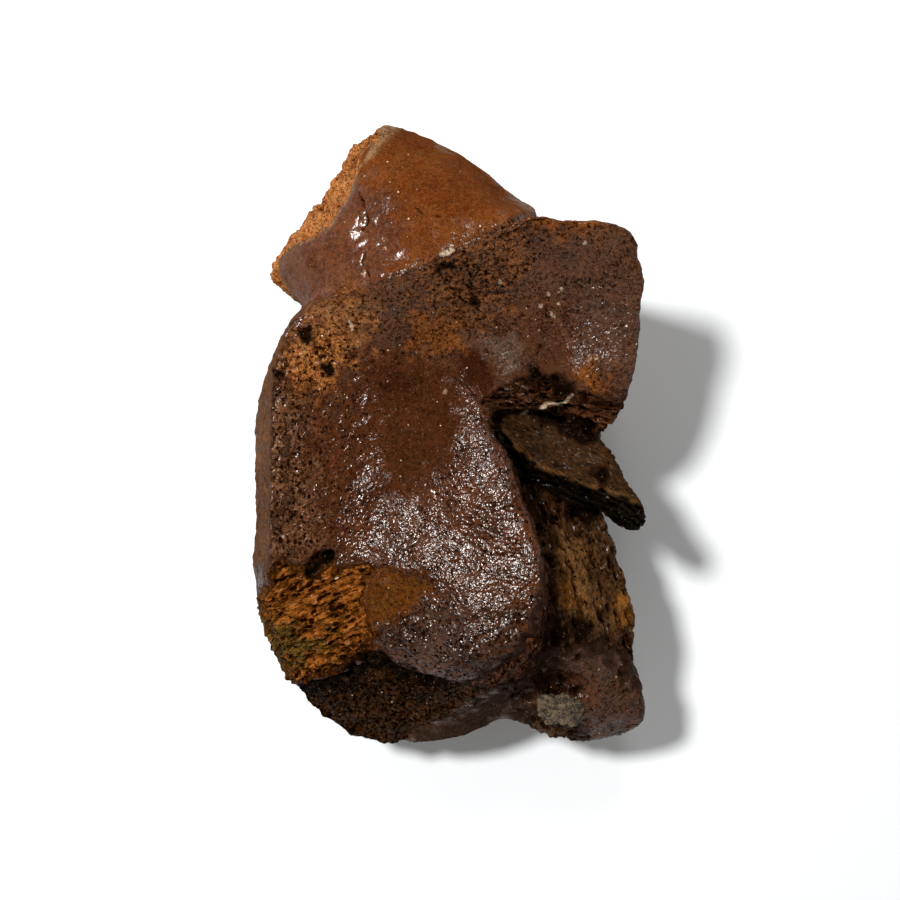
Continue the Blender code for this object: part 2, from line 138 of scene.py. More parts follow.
# Areas of the bone, in plan, by the name of their finish.
AREAS = {
    "break_face": [
        (-28, 131), (-28, 120), (-35, 117), (-35, 108), (-39, 102), (-39, 95), (-42, 91), (-45, 87),
        (-50, 83), (-57, 80), (-64, 78), (-69, 76), (-70, 72), (-69, 67), (-66, 62), (-62, 58), (-95, 50),
        (-95, 145), (-28, 145),
    ],
    "grey_edge": [
        (-27, 133), (-20, 131), (-21, 126), (-25, 121), (-30, 114), (-34, 108), (-33, 114), (-28, 122),
    ],
    "point_rim": [
        (-3, 122), (4, 119), (10, 115), (16, 109), (21, 102), (27, 94), (30, 88), (36, 88), (36, 110),
        (10, 135), (-6, 135),
    ],
    "point_low": [
        (-46, 90), (-41, 103), (-31, 103), (-21, 92), (-17, 80), (-21, 68), (-32, 60), (-50, 54),
        (-66, 50), (-76, 66), (-72, 78), (-54, 82),
    ],
    "coarse": [
        (-14, 62), (-8, 68), (2, 74), (14, 79), (26, 85), (34, 86), (34, 74), (26, 62), (20, 52),
        (12, 44), (4, 46), (-8, 54),
    ],
    "left_pores": [
        (-70, 36), (-62, 36), (-60, 16), (-57, 6), (-55, -14), (-51, -30), (-50, -42), (-58, -50),
        (-71, -50), (-73, -30), (-74, 0), (-73, 28),
    ],
    "sponge": [
        (-67, 32), (-61, 38), (-53, 43), (-44, 42), (-39, 38), (-39, 33), (-43, 28), (-48, 22), (-58, 20),
        (-63, 25),
    ],
    "upper_tint": [
        (-67, 36), (-59, 46), (-51, 54), (-40, 57), (-34, 55), (-30, 49), (-34, 40), (-39, 33), (-47, 21),
        (-59, 19), (-65, 25),
    ],
    "ridged": [
        (-71, -53), (-68, -48), (-60, -50), (-53, -52), (-46, -47), (-39, -49), (-35, -48), (-26, -50),
        (-31, -57), (-31, -67), (-30, -74), (-29, -80), (-31, -85), (-36, -88), (-41, -92), (-46, -96),
        (-55, -99), (-62, -102), (-72, -106), (-86, -88), (-86, -70), (-76, -60),
    ],
    "greenish": [(-90, -70), (-66, -70), (-50, -76), (-48, -86), (-60, -96), (-72, -108), (-92, -96)],
    "tongue": [
        (-32, -55), (-28, -52), (-24, -51), (-16, -51), (-10, -53), (-7, -58), (-11, -62), (-17, -68),
        (-23, -72), (-31, -75), (-33, -67), (-34, -61),
    ],
    "under_ledge": [
        (-74, -108), (-65, -103), (-55, -99), (-46, -96), (-40, -92), (-36, -89), (-33, -87), (-27, -88),
        (-22, -90), (-14, -92), (-8, -94), (1, -96), (8, -98), (16, -100), (12, -106), (7, -110),
        (-4, -118), (-15, -124), (-21, -140), (-80, -140),
    ],
    "neck": [
        (-21, -132), (-15, -124), (-4, -118), (7, -110), (13, -103), (21, -101), (29, -106), (28, -114),
        (18, -122), (9, -140), (-9, -140),
    ],
    "shaft": [
        (20, 16), (62, 8), (90, -10), (95, -60), (95, -140), (34, -140), (28, -118), (25, -108),
        (20, -97), (28, -88), (34, -80), (38, -70), (40, -60), (38, -49), (35, -40), (31, -30), (27, -20),
        (24, -10), (20, 2), (17, 10),
    ],
    "shaft_smooth": [
        (47, -84), (62, -85), (73, -90), (80, -104), (92, -115), (80, -140), (60, -140), (54, -118),
        (40, -114), (28, -112), (30, -103), (38, -95),
    ],
    "splinter": [
        (15, 15), (29, 12), (39, 10), (46, 9), (51, 6), (57, 2), (62, 1), (66, -4), (71, -11), (74, -18),
        (80, -28), (78, -36), (73, -38), (62, -30), (53, -26), (41, -21), (33, -16), (26, -9), (20, -1),
        (17, 6),
    ],
    "torn": [
        (15, 17), (19, 19), (21, 21), (26, 24), (31, 26), (43, 26), (51, 23), (60, 19), (66, 18),
        (71, 17), (76, 16), (70, 4), (62, 0), (57, 2), (51, 5), (45, 8), (38, 9), (29, 10), (20, 12),
    ],
    "outer_facet": [
        (-40, 62), (-44, 48), (-20, 38), (-8, 33), (5, 26), (12, 20), (20, 18), (80, 12), (86, 60),
        (80, 92), (30, 94), (-3, 74),
    ],
    "smooth_middle": [
        (-28, 30), (-12, 34), (2, 28), (8, 19), (6, 4), (2, -7), (-6, -13), (-12, -21), (-21, -27),
        (-28, -19), (-30, -3), (-29, 13),
    ],
    "smooth_patch": [(4, 33), (5, 36), (13, 37), (16, 31), (19, 22), (15, 18), (11, 20), (6, 25)],
    "dull_band": [
        (8, 36), (20, 42), (43, 42), (56, 36), (58, 24), (51, 21), (43, 24), (31, 24), (19, 17), (12, 26),
    ],
    "grey_film": [(6, 42), (14, 43), (27, 40), (30, 34), (24, 29), (17, 33), (12, 38)],
    "joint_low": [
        (-27, -78), (-12, -62), (8, -68), (32, -62), (35, -82), (25, -95), (14, -101), (-2, -97),
        (-20, -93), (-30, -88),
    ],
    "rippled": [(47, 60), (59, 61), (70, 57), (77, 48), (76, 32), (70, 22), (60, 26), (52, 36), (48, 48)],
    "rim_band": [
        (37, -45), (41, -48), (42, -64), (37, -84), (29, -97), (16, -101), (8, -97), (14, -91), (26, -82),
        (34, -69), (36, -57),
    ],
}

# Spots of a finish, in plan.
SPOTS = {
    "orange": [
        [(-15, 52), (-4, 51), (4, 45), (5, 38), (-4, 35), (-10, 37), (-16, 39)],
        [(51, 27), (56, 29), (61, 25), (65, 19), (59, 19), (54, 22)],
        [(28, 87), (37, 89), (43, 89), (54, 88), (62, 85), (54, 80), (45, 79), (37, 80), (31, 83)],
        [(-46, 62), (-40, 63), (-36, 58), (-44, 56)],
    ],
    "rusty": [
        [(43, -38), (54, -36), (60, -46), (61, -60), (58, -72), (48, -74), (43, -62), (41, -48)],
        [(67, -58), (80, -58), (84, -76), (74, -79), (67, -70)],
    ],
    "ochre": [
        [(43, -54), (48, -55), (53, -62), (51, -67), (44, -66), (42, -60)],
        [(69, -63), (73, -63), (76, -70), (74, -76), (70, -71)],
    ],
}

# Cracks in the outer layer, and the areas where the joint surface is wrinkled.
CRACKS = [
    [(-36, 99), (-33, 94), (-32, 90), (-30, 86), (-33, 83)],
    [(-26, 97), (-18, 93), (-10, 88), (-2, 86)],
    [(-30, 76), (-33, 70), (-31, 64)],
    [(36, 41), (36, 36), (35, 31), (36, 26)],
]
WRINKLED = [
    AREAS["joint_low"],
    [(-46, 34), (-33, 36), (-30, 10), (-33, -10), (-43, -13), (-47, 8)],
]

# Cream flecks, as short lines and as spots, and dark spots with the reach of each.
CREAM_LINES = [
    [(36.5, 13), (39, 15), (41, 15.5), (44, 15), (46.5, 16), (49, 19)],
    [(-3.5, 72.2), (1, 74.2)],
    [(39.5, 51.2), (41.5, 49.5)],
    [(-39, 47.5), (-38.2, 44.5)],
    [(-33, 66.5), (-32.5, 64.5)],
    [(29.5, 11.5), (31.5, 12.5)],
]
CREAM_SPOTS = [
    (39, 58), (36, 53.5), (43, 54.5), (44, 60), (-1, 21), (-24, 75), (52, 76), (-1.5, 19.8), (58, 33),
    (20, 62),
]
CREAM_LINE_REACH = 0.45
CREAM_SPOT_REACH = 0.65
# Some dark spots are real stains, others painted shadow by the splinter and ledge and painted shade in
# hollows.
DARK_STAINS_AND_SHADE = [
    (-49, 28, 2.4), (53, -27, 4), (58, -31, 3), (62, -14, 2.4), (-66, 27, 2), (-56, 42, 3),
    (-1, 66, 1.6), (5, 61, 1.8), (9, 55, 2), (44, -77, 4), (53, -75, 3.5), (34, 28, 3), (46, 22, 3),
    (38, 10, 3), (43, 9, 4), (49, 7, 4.5), (55, 3, 4), (40, -103, 4), (46, -102, 4), (51, -103, 3),
    (-33, -88, 5), (-26, -89, 5), (-40, -93, 4), (-50, 30, 2),
]

# How a pattern runs in the finish of an area: its turn in plan in degrees, and its scale along that
# grain, across it and upwards, where a scale below 1 draws the pattern out.
EVEN = (0.0, (1.0, 1.0, 1.0))
ALONG_RIDGES = (24.0, (0.45, 1.0, 0.8))
ALONG_SHAFT = (-77.0, (0.5, 1.0, 0.8))
ALONG_RIM = (-77.0, (0.35, 1.0, 0.6))
ALONG_TORN = (-9.0, (0.4, 1.0, 1.0))
ALONG_SPLINTER = (-33.0, (0.35, 1.0, 1.0))
DOWN_SPLINTER = (-33.0, (0.3, 1.0, 1.0))
DOWN_FLANK = (0.0, (1.0, 1.0, 0.2))

# The joint surface's finish: its dark and light colour, how porous it is, how much consolidant lies on
# it, and how strong its relief is.
JOINT = ("2c1307", "562c12", 0.70, 0.60, 1.15)

# Each area's finish: how soft its edge is and how far the edge wanders, the same as for the joint
# surface, and how its pattern runs. Every area lies over the ones before it.
FINISHES = [
    ("point", 0.8, 0.4, "4c2009", "6c3b18", 0.00, 0.01, 0.4, EVEN),
    ("outer_facet", 8.0, 4.0, "281308", "5c3822", 0.70, 0.38, 1.0, EVEN),
    ("point_low", 9.0, 8.0, "3c1a08", "66371b", 0.05, 0.60, 0.34, EVEN),
    ("smooth_middle", 9.0, 5.0, "2c1407", "4a2713", 0.42, 0.00, 0.7, EVEN),
    ("dull_band", 5.0, 4.0, "331a0c", "4e2e1c", 0.35, 0.02, 0.8, EVEN),
    ("joint_low", 12.0, 12.0, "1e0c06", "4a2a16", 0.80, 0.62, 1.5, EVEN),
    ("smooth_patch", 1.5, 1.5, "260f06", "381b0c", 0.20, 0.00, 0.5, EVEN),
    ("grey_film", 4.0, 6.0, "443026", "604a3b", 0.60, 0.10, 0.9, EVEN),
    ("rippled", 14.0, 5.0, "2a160d", "5a3b2a", 0.40, 0.42, 1.6, EVEN),
    ("left_pores", 6.0, 8.0, "401e0d", "7a5134", 1.00, 0.45, 1.2, EVEN),
    ("coarse", 9.0, 10.0, "1c0c05", "7c4926", 0.75, 0.35, 1.3, EVEN),
    ("upper_tint", 8.0, 10.0, "4e290f", "945f36", 0.85, 0.30, 1.1, EVEN),
    ("sponge", 5.0, 6.0, "5c2d10", "b06f38", 1.00, 0.30, 1.2, EVEN),
    ("ridged", 3.0, 5.0, "3e1d03", "9a571f", 1.00, 0.10, 1.4, ALONG_RIDGES),
    ("greenish", 12.0, 12.0, "2c1c05", "6c501c", 0.90, 0.15, 1.4, ALONG_RIDGES),
    ("tongue", 3.0, 3.0, "30180a", "62360f", 0.60, 0.03, 0.5, EVEN),
    ("flank", 5.0, 5.0, "3e2517", "6c4a33", 0.25, 0.00, 0.6, DOWN_FLANK),
    ("point_rim", 5.0, 5.0, "4a3222", "7a6250", 0.05, 0.12, 0.7, EVEN),
    ("under_ledge", 3.5, 4.0, "0e0702", "42260f", 1.00, 0.14, 1.3, EVEN),
    # A painted shadow below the ledge.
    ("ledge_shadow", 5.0, 5.0, "060302", "180d06", 0.80, 0.05, 1.0, EVEN),
    ("neck", 6.0, 7.0, "22150d", "3c2a1e", 0.15, 0.02, 0.6, EVEN),
    ("shaft", 2.5, 3.0, "160a04", "4e3019", 0.75, 0.20, 1.3, ALONG_SHAFT),
    ("rusty", 6.0, 8.0, "36200f", "6c4826", 0.70, 0.10, 1.2, ALONG_SHAFT),
    ("ochre", 4.0, 4.0, "4a290d", "865524", 0.35, 0.04, 1.0, ALONG_SHAFT),
    ("rim_band", 3.0, 3.0, "1c0d06", "5a3321", 0.90, 0.12, 1.5, ALONG_RIM),
    ("shaft_smooth", 7.0, 8.0, "1d0d06", "57331f", 0.50, 0.42, 1.4, EVEN),
    ("torn", 3.0, 5.0, "120904", "54301a", 1.00, 0.12, 1.3, ALONG_TORN),
    ("orange", 5.0, 8.0, "4e2409", "7c4820", 0.80, 0.25, 1.0, EVEN),
    ("splinter", 1.2, 0.8, "140b05", "3e2613", 0.40, 0.03, 1.1, ALONG_SPLINTER),
    # A painted highlight along the splinter's ridge.
    ("splinter_ridge_highlight", 1.8, 1.2, "3a2210", "6a4726", 0.40, 0.03, 1.0, ALONG_SPLINTER),
    # Painted shade on the splinter's side, which turns away from the light.
    ("splinter_shaded_side", 1.5, 1.5, "070402", "180f07", 0.50, 0.08, 1.2, DOWN_SPLINTER),
    ("break_face", 1.0, 1.2, "5c2808", "b67642", 0.60, 0.02, 1.2, EVEN),
    ("grey_edge", 1.2, 1.5, "5a3820", "90704f", 0.50, 0.05, 0.9, EVEN),
    ("underside", 3.0, 3.0, "4e3018", "845c38", 0.90, 0.02, 1.1, EVEN),
    # Painted shade inside the slit.
    ("hole", 1.0, 1.5, "060301", "160b04", 0.50, 0.00, 1.0, EVEN),
    # Partly real dark stains, partly painted shadow and painted shade in hollows.
    ("stain_and_shade", 2.0, 4.0, "0a0502", "201006", 0.80, 0.02, 1.1, EVEN),
]

# Noises in the bone's colour and gloss: the size of their features, their detail and their roughness.
NOISES = {
    "stains": (14.0, 4.0, 0.6),
    "mottling": (1.8, 4.0, 0.75),
    "specks": (0.6, 1.0, 0.6),
    "greyed parts": (5.0, 5.0, 0.75),
    "porous parts": (6.0, 3.0, 0.6),
    "islands": (1.5, 2.5, 0.6),
    "unevenness": (1.6, 2.0, 0.6),
    "dusty parts": (11.0, 2.0, 0.6),
    "fleck edges": (1.2, 2.0, 0.6),
    "lumps": (2.8, 3.0, 0.6),
    "grit": (0.8, 2.0, 0.6),
    "broad film": (4.5, 1.0, 0.6),
    "fine film": (1.3, 1.0, 0.4),
}

# Settings that many shader nodes share: a value times one, plus another, and the same kept from 0 to 1.
TIMES_PLUS = {"operation": "MULTIPLY_ADD"}
LIMITED = {"operation": "MULTIPLY_ADD", "use_clamp": True}
TIMES = {"operation": "MULTIPLY"}
COLOURS = {"data_type": "RGBA"}


def linear(code):
    """An sRGB hex colour as the linear colour that a shader takes."""
    shares = [int(code[i : i + 2], 16) / 255 for i in (0, 2, 4)]
    return tuple(s / 12.92 if s <= 0.04045 else ((s + 0.055) / 1.055) ** 2.4 for s in shares)


def shown_mesh(piece):
    """The piece's mesh with its modifiers applied."""
    bpy.context.view_layer.update()
    return bpy.data.meshes.new_from_object(piece.evaluated_get(bpy.context.evaluated_depsgraph_get()))


def finer_copy(node, name, voxel, softening):
    """A smooth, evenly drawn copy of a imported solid."""
    bm = bmesh.new()
    bm.from_mesh(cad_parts[node].data)
    bmesh.ops.remove_doubles(bm, verts=bm.verts, dist=0.01 * MM)
    mesh = bpy.data.meshes.new(name)
    bm.to_mesh(mesh)
    bm.free()
    piece = bpy.data.objects.new(name, mesh)
    bpy.context.scene.collection.objects.link(piece)
    even = piece.modifiers.new("even", "REMESH")
    even.mode = "VOXEL"
    even.voxel_size = voxel * MM
    soft = piece.modifiers.new("soft", "SMOOTH")
    soft.factor = 0.5
    soft.iterations = softening
    piece.data = shown_mesh(piece)
    piece.modifiers.clear()
    piece.data.name = name
    return piece


def vertices_of(mesh):
    """Where each vertex of a mesh lies, in millimetres, and which way it faces."""
    found = []
    for name in ("co", "normal"):
        values = np.empty(len(mesh.vertices) * 3)
        mesh.vertices.foreach_get(name, values)
        found.append(values.reshape(-1, 3))
    return found[0] / MM, found[1]


def to_line(places, line):
    """Distance from each place to an open line in plan, positive on its left."""
    ends = np.array(line, float)
    nearest = np.full(len(places), 1e6)
    side = np.ones(len(places))
    for a, b in zip(ends[:-1], ends[1:]):
        run = b - a
        along = np.clip((places - a) @ run / (run @ run), 0.0, 1.0)
        away = places - a - along[:, None] * run
        gap = np.hypot(away[:, 0], away[:, 1])
        closer = gap < nearest
        turn = run[0] * (places[:, 1] - a[1]) - run[1] * (places[:, 0] - a[0])
        side = np.where(closer, np.where(turn >= 0, 1.0, -1.0), side)
        nearest = np.minimum(nearest, gap)
    return nearest * side


def to_area(places, outline):
    """Distance from each place to the edge of an area in plan, positive inside."""
    ends = np.array(outline, float)
    inside = np.zeros(len(places), bool)
    for a, b in zip(ends, np.roll(ends, -1, 0)):
        between = (a[1] > places[:, 1]) != (b[1] > places[:, 1])
        rise = b[1] - a[1] if b[1] != a[1] else 1e-9
        inside ^= between & (places[:, 0] < (b[0] - a[0]) * (places[:, 1] - a[1]) / rise + a[0])
    gap = np.abs(to_line(places, [*outline, outline[0]]))
    return np.where(inside, gap, -gap)


def turned(points, turn):
    """The points turned about the vertical, so that X runs along a grain at this angle to +X."""
    c, s = math.cos(math.radians(turn)), math.sin(math.radians(turn))
    along = points[:, 0] * c + points[:, 1] * s
    across = points[:, 1] * c - points[:, 0] * s
    return np.c_[along, across, points[:, 2]]


def grain(points, size, turn=0.0, stretch=(1.0, 1.0, 1.0), seed=0.0, octaves=3):
    """Soft noise from -1 to 1 with features of the given size, turned in plan and stretched."""
    drawn = turned(points, turn) / stretch / size + seed
    return np.array([noise.fractal(Vector(p), 1.0, 2.0, octaves) for p in drawn.tolist()])


def pores(points, size, turn=0.0, stretch=(1.0, 1.0, 1.0), seed=0.0):
    """Pits of about the given size: 1 in the middle of one, 0 on the walls between them."""
    drawn = turned(points, turn) / stretch / size + seed
    drawn += 0.35 * np.array([noise.noise_vector(Vector(p)) for p in (1.4 * drawn).tolist()]).reshape(-1, 3)
    depth = np.array([noise.voronoi(Vector(p))[0][0] for p in drawn.tolist()])
    return np.clip(1.0 - depth / 0.62, 0.0, 1.0)


def share(distance, soft):
    """How much of a place belongs to an area, from its distance and the width of the soft edge."""
    return np.clip(0.5 + distance / soft, 0.0, 1.0)


def hump(distance, width):
    """1 at no distance, falling off to both sides over a width."""
    return np.exp(-((distance / width) ** 2))


def dome(places, middle, reach):
    """1 in the middle of a rounded swelling in plan, falling off over its reach along X and Y."""
    x, y = ((places - middle) / reach).T
    return np.exp(-(x**2) - y**2)


def reach_of_areas(co, up, places):
    """How far each vertex lies inside each area, by the area's name."""
    x, y, z = co.T
    plan = co[:, :2]
    reach = {name: to_area(places, outline) for name, outline in AREAS.items()}
    for name, spots in SPOTS.items():
        reach[name] = np.max([to_area(places, spot) for spot in spots], 0)
    reach["crest"] = to_line(places, CREST)
    reach["outer_facet"] = np.minimum(reach["outer_facet"], -4 * reach["crest"])
    reach["point"] = np.where(z > POINT_ABOVE, reach["crest"], OUTSIDE)
    reach["point_rim"] = np.minimum(reach["point_rim"], (up - 0.2) * 25)
    reach["shaft"] = np.where((z < SHAFT_BELOW) | (up < 0.3), reach["shaft"], OUTSIDE)
    reach["torn"] = np.where(z > TORN_ABOVE, reach["torn"], OUTSIDE)
    reach["greenish"] = np.minimum(reach["greenish"] - 5, reach["ridged"] * 4)
    reach["ochre"] = np.minimum(reach["ochre"], z - OCHRE_ABOVE)
    reach["rusty"] = np.minimum(reach["rusty"], z - RUSTY_ABOVE)
    reach["grey_edge"] = np.maximum(reach["grey_edge"], 0.3 - np.abs(reach["break_face"]))
    reach["underside"] = np.where(up < -0.5, 2.0 - z, OUTSIDE)
    # The slit is painted near black, as painted shade inside it.
    reach["hole"] = 1.6 - np.abs(to_line(places, HOLE))

    # The splinter keeps a sharp outline, with a painted highlight along its ridge and painted shade on its
    # side beyond it.
    at_splinter = (z > SPLINTER_ABOVE) & (z < SPLINTER_BELOW)
    reach["splinter"] = np.where(at_splinter, to_area(plan, AREAS["splinter"]), OUTSIDE)
    past_ridge = np.maximum(-to_line(places, SPLINTER_RIDGE), (0.35 - up) * 7)
    reach["splinter_shaded_side"] = np.minimum(reach["splinter"], past_ridge)
    # A painted highlight along the splinter's ridge.
    edge = 0.9 - np.abs(to_line(plan, SPLINTER_RIDGE))
    reach["splinter_ridge_highlight"] = np.minimum(reach["splinter"], edge)

    # A painted shadow darkens the bone below the ledge, left of the middle.
    below_ledge = np.where(places[:, 0] < 0, to_line(places, LEDGE) + 8, OUTSIDE)
    reach["ledge_shadow"] = np.minimum(reach["under_ledge"], below_ledge)

    # The flanks start where the surface turns down, and sooner on the left side.
    outer_left = share(-60 - x, 6.0) * share(y + 50, 8.0)
    reach["flank"] = (0.1 + 0.45 * outer_left - up) * 10

    # Dark stains and painted shade keep off the splinter's root and the sides, and cream flecks off the
    # sides.
    dark = np.max([wide - np.hypot(*(places - middle).T) for *middle, wide in DARK_STAINS_AND_SHADE], 0)
    reach["stain_and_shade"] = np.where((up < 0.1) | (reach["splinter"] > 0) & (x < 37), OUTSIDE, dark)
    cream = [CREAM_LINE_REACH - np.abs(to_line(plan, line)) for line in CREAM_LINES]
    cream += [CREAM_SPOT_REACH - np.hypot(*(plan - spot).T) for spot in CREAM_SPOTS]
    reach["cream"] = np.where(up > 0.1, np.max(cream, 0), OUTSIDE)
    return reach


class Surface:
    """The bone's vertices, the areas that they lie in, how far each is raised and how deep its pits are."""

    def __init__(self, mesh):
        self.co, self.normal = vertices_of(mesh)
        self.plan = self.co[:, :2]
        self.x, _, self.z = self.co.T
        self.up = self.normal[:, 2]
        ragged = np.array([noise.noise_vector(Vector(p))[:2] for p in (self.co / 7.0).tolist()])
        self.places = self.plan + 1.3 * ragged
        self.reach = reach_of_areas(self.co, self.up, self.places)
        self.sway = grain(self.co, 4.5, octaves=5)
        self.on = {}
        for name, soft, wander, *_ in FINISHES:
            inside = (self.reach[name] + wander * self.sway) / soft
            self.on[name] = np.clip(inside + 0.5, 0.0, 1.0)
        self.top = share(self.up - 0.05, 0.3) * (1 - self.on["flank"])
        self.raised = np.zeros(len(self.co))
        self.pits = np.zeros(len(self.co))

    def only(self, where, make):
        """A pattern that is worked out only where it is used, and is 0 elsewhere."""
        found = np.zeros(len(where))
        used = where > 0.001
        found[used] = make(self.co[used])
        return found * where

    def along(self, line, width):
        """1 on a line in plan, falling off to both sides over a width."""
        return hump(to_line(self.places, line), width)

    def keep_pit_shade(self, pits):
        """Keeps pits, which the material darkens as painted shade."""
        self.pits = np.maximum(self.pits, pits)


def shape_broadly(bone):
    """Broad unevenness, two swellings, a faint grain, and chips along the edges of the joint surface."""
    point = bone.on["point"]
    bone.raised += 0.5 * grain(bone.co, 9.0, octaves=4)
    bone.raised += CORNER_SWELLING * dome(bone.plan, *CORNER)
    bone.raised += POINT_SWELLING * point * dome(bone.plan, *POINT)
    bone.raised += bone.only(1 - point * 0.8, lambda at: 0.09 * grain(at, 2.4, seed=7.0))
    chipped = hump(bone.up - 0.35, 0.3) * (bone.z > CHIPS_ABOVE) * (1 - point)
    bone.raised += bone.only(chipped, lambda at: 0.5 * grain(at, 3.0, seed=17.0))


def draw_crest(bone):
    """The crest is the thin broken edge of the outer layer, with the joint surface a small step below."""
    crest = bone.reach["crest"]
    high = bone.z > CREST_ABOVE
    bone.raised -= CREST_STEP * hump(crest, 7.0) * share(-crest, 1.4) * bone.top * high
    bone.raised += CREST_EDGE * hump(crest - 0.9, 1.1) * bone.top * high * (0.6 + bone.sway)


def draw_cracks(bone):
    """Cracks in the facet and the outer layer, streaks on the elbow's point, and the ridge on the flank."""
    on, top = bone.on, bone.top
    bone.raised -= FACET_CRACK_DEPTH * bone.along(FACET_CRACK, 0.8) * top
    gaping = np.clip(0.6 + 3.0 * grain(bone.co, 6.0, seed=21.0), 0.0, 1.0) * top
    cracked = np.max([bone.along(crack, 0.5) for crack in CRACKS], 0) * gaping
    bone.raised -= CRACK_DEPTH * cracked
    bone.keep_pit_shade(cracked)
    streaks = bone.only(on["point"] * top, lambda at: grain(at, 2.0, 40.0, (4.0, 1.0, 1.0), seed=19.0))
    bone.raised += (0.08 + 0.22 * on["point_low"]) * streaks
    bone.raised += FLANK_RIDGE_HEIGHT * bone.along(FLANK_RIDGE, 0.9) * (bone.z > FLANK_RIDGE_ABOVE)


def open_the_sponge(bone):
    """Spongy bone, where the outer layer is worn or broken away. Returns how worn each place is."""
    on = bone.on
    broken = on["break_face"]
    holes = bone.only(broken * (bone.z < BREAK_PORES_BELOW), lambda at: pores(at, 2.8))
    bone.raised += bone.only(broken, lambda at: 1.6 * grain(at, 6.0, seed=3.0) + 0.9 * grain(at, 2.2))
    bone.raised -= 1.3 * holes + 0.3 * broken
    bone.keep_pit_shade(holes * 0.5)
    worn = np.maximum.reduce([on["sponge"], on["left_pores"], on["upper_tint"] * 0.6, on["coarse"]])
    worn = worn * bone.top * (1 - on["point"]) * (1 - on["ridged"])
    holes = bone.only(worn, lambda at: pores(at, 2.4, seed=11.0))
    bone.raised += -1.2 * holes + bone.only(worn, lambda at: 0.5 * grain(at, 2.0, seed=12.0))
    bone.keep_pit_shade(holes)
    return worn


def texture_joint(bone, worn):
    """Small pits on the joint surface, with wrinkles on two parts of it and ripples on a third."""
    on = bone.on
    joint = bone.top * (1 - on["point"]) * (1 - on["smooth_middle"] * 0.8) * (1 - on["tongue"] * 0.7)
    joint = joint * (1 - on["shaft"]) * (1 - worn)
    fine = bone.only(joint, lambda at: pores(at, 1.8, seed=5.0))
    bone.raised -= 0.2 * fine
    bone.keep_pit_shade(fine * 0.6)
    wrinkled = np.max([share(to_area(bone.places, area), 12.0) for area in WRINKLED], 0)
    wrinkled = wrinkled * joint * (1 - on["ridged"])
    bone.raised += bone.only(wrinkled, lambda at: grain(at, 3.6, 70.0, (1.5, 1.0, 1.0), seed=15.0))
    rippled = on["rippled"] * joint
    bone.raised += bone.only(rippled, lambda at: 0.45 * grain(at, 1.6, 65.0, (2.5, 1.0, 1.0), seed=16.0))


def draw_ridged_patch(bone):
    """The rough patch, with ridges that run up to the right, and the smooth tongue that ends it."""
    ridged = bone.on["ridged"] * bone.top * (1 - bone.on["tongue"])
    ridges = bone.only(ridged, lambda at: grain(at, 2.2, 26.0, (3.6, 1.0, 1.4), seed=2.0, octaves=4))
    slots = bone.only(ridged, lambda at: pores(at, 2.9, 30.0, (2.8, 1.0, 1.2), seed=9.0))
    broad = bone.only(ridged, lambda at: grain(at, 8.0, 24.0, (1.6, 1.0, 1.0), seed=6.0))
    bone.raised += 1.8 * ridges - 2.0 * slots + 1.6 * broad
    bone.raised += bone.only(ridged, lambda at: 0.6 * grain(at, 1.2, 26.0, (1.8, 1.0, 1.0), seed=18.0))
    bone.keep_pit_shade(slots)
    bone.raised -= (2.0 + 3.0 * bone.sway) * bone.along(HOLE, 1.3) * bone.top
    inside = np.clip(bone.reach["tongue"] / 1.5, 0.0, 1.0)
    bone.raised -= TONGUE_STEP * inside * share(bone.x + 30, 8.0) * bone.top


def step_down_ledge(bone):
    """The bone breaks off in a step below the ledge, onto rough spongy bone."""
    ledge = to_line(bone.places, LEDGE)
    low = bone.on["under_ledge"] * (ledge < 0)
    bone.raised -= LEDGE_STEP * np.clip(-ledge / 1.5, 0.0, 1.0) * hump(ledge, 10) * low
    bone.raised += bone.only(low, lambda at: 2.4 * grain(at, 8.0, seed=13.0) - 1.3 * pores(at, 3.4, seed=1.0))


def tear_shaft(bone):
    """Thin plates and long pits that run along the shaft, and the torn layers above it."""
    on = bone.on
    rough = on["shaft"] * (1 - on["splinter"]) * (1 - 0.45 * on["shaft_smooth"])
    plates = bone.only(rough, lambda at: grain(at, 3.2, -77.0, (2.6, 1.0, 1.6), seed=4.0, octaves=4))
    long_pits = bone.only(rough, lambda at: pores(at, 4.4, -70.0, (1.8, 1.0, 1.2), seed=6.0))
    bone.raised += 1.5 * plates - 2.4 * long_pits * np.clip(long_pits * 4 - 1, 0.0, 1.0)
    torn = on["torn"] * (1 - on["splinter"])
    layers = bone.only(torn, lambda at: grain(at, 1.9, -9.0, (4.0, 1.0, 1.0), seed=8.0, octaves=4))
    holes = bone.only(torn, lambda at: pores(at, 2.8, -9.0, (1.5, 1.0, 1.0), seed=8.0))
    bone.raised += 1.5 * layers - 1.6 * holes
    bone.keep_pit_shade(np.maximum(long_pits, holes))


def draw_splinter(bone):
    """Fibres along the splinter, its ridge, and gaps between the fibres on its side, which is painted dark as
    shade.
    """
    splinter = bone.on["splinter"]
    bone.raised += bone.only(
        splinter, lambda at: 0.6 * grain(at, 1.7, -33.0, (6.0, 1.2, 0.8), seed=5.0, octaves=4)
    )
    ridge = to_line(bone.plan, SPLINTER_RIDGE)
    bone.raised += SPLINTER_RIDGE_HEIGHT * hump(ridge, 1.0) * splinter * (bone.up > 0.3)
    gaps = np.clip(np.cos((ridge + 1.5 * bone.sway) * 2.5) * 2 - 0.6, 0.0, 1.0) * bone.on["splinter_shaded_side"]
    bone.raised -= SPLINTER_GAP_DEPTH * gaps
    bone.keep_pit_shade(gaps)


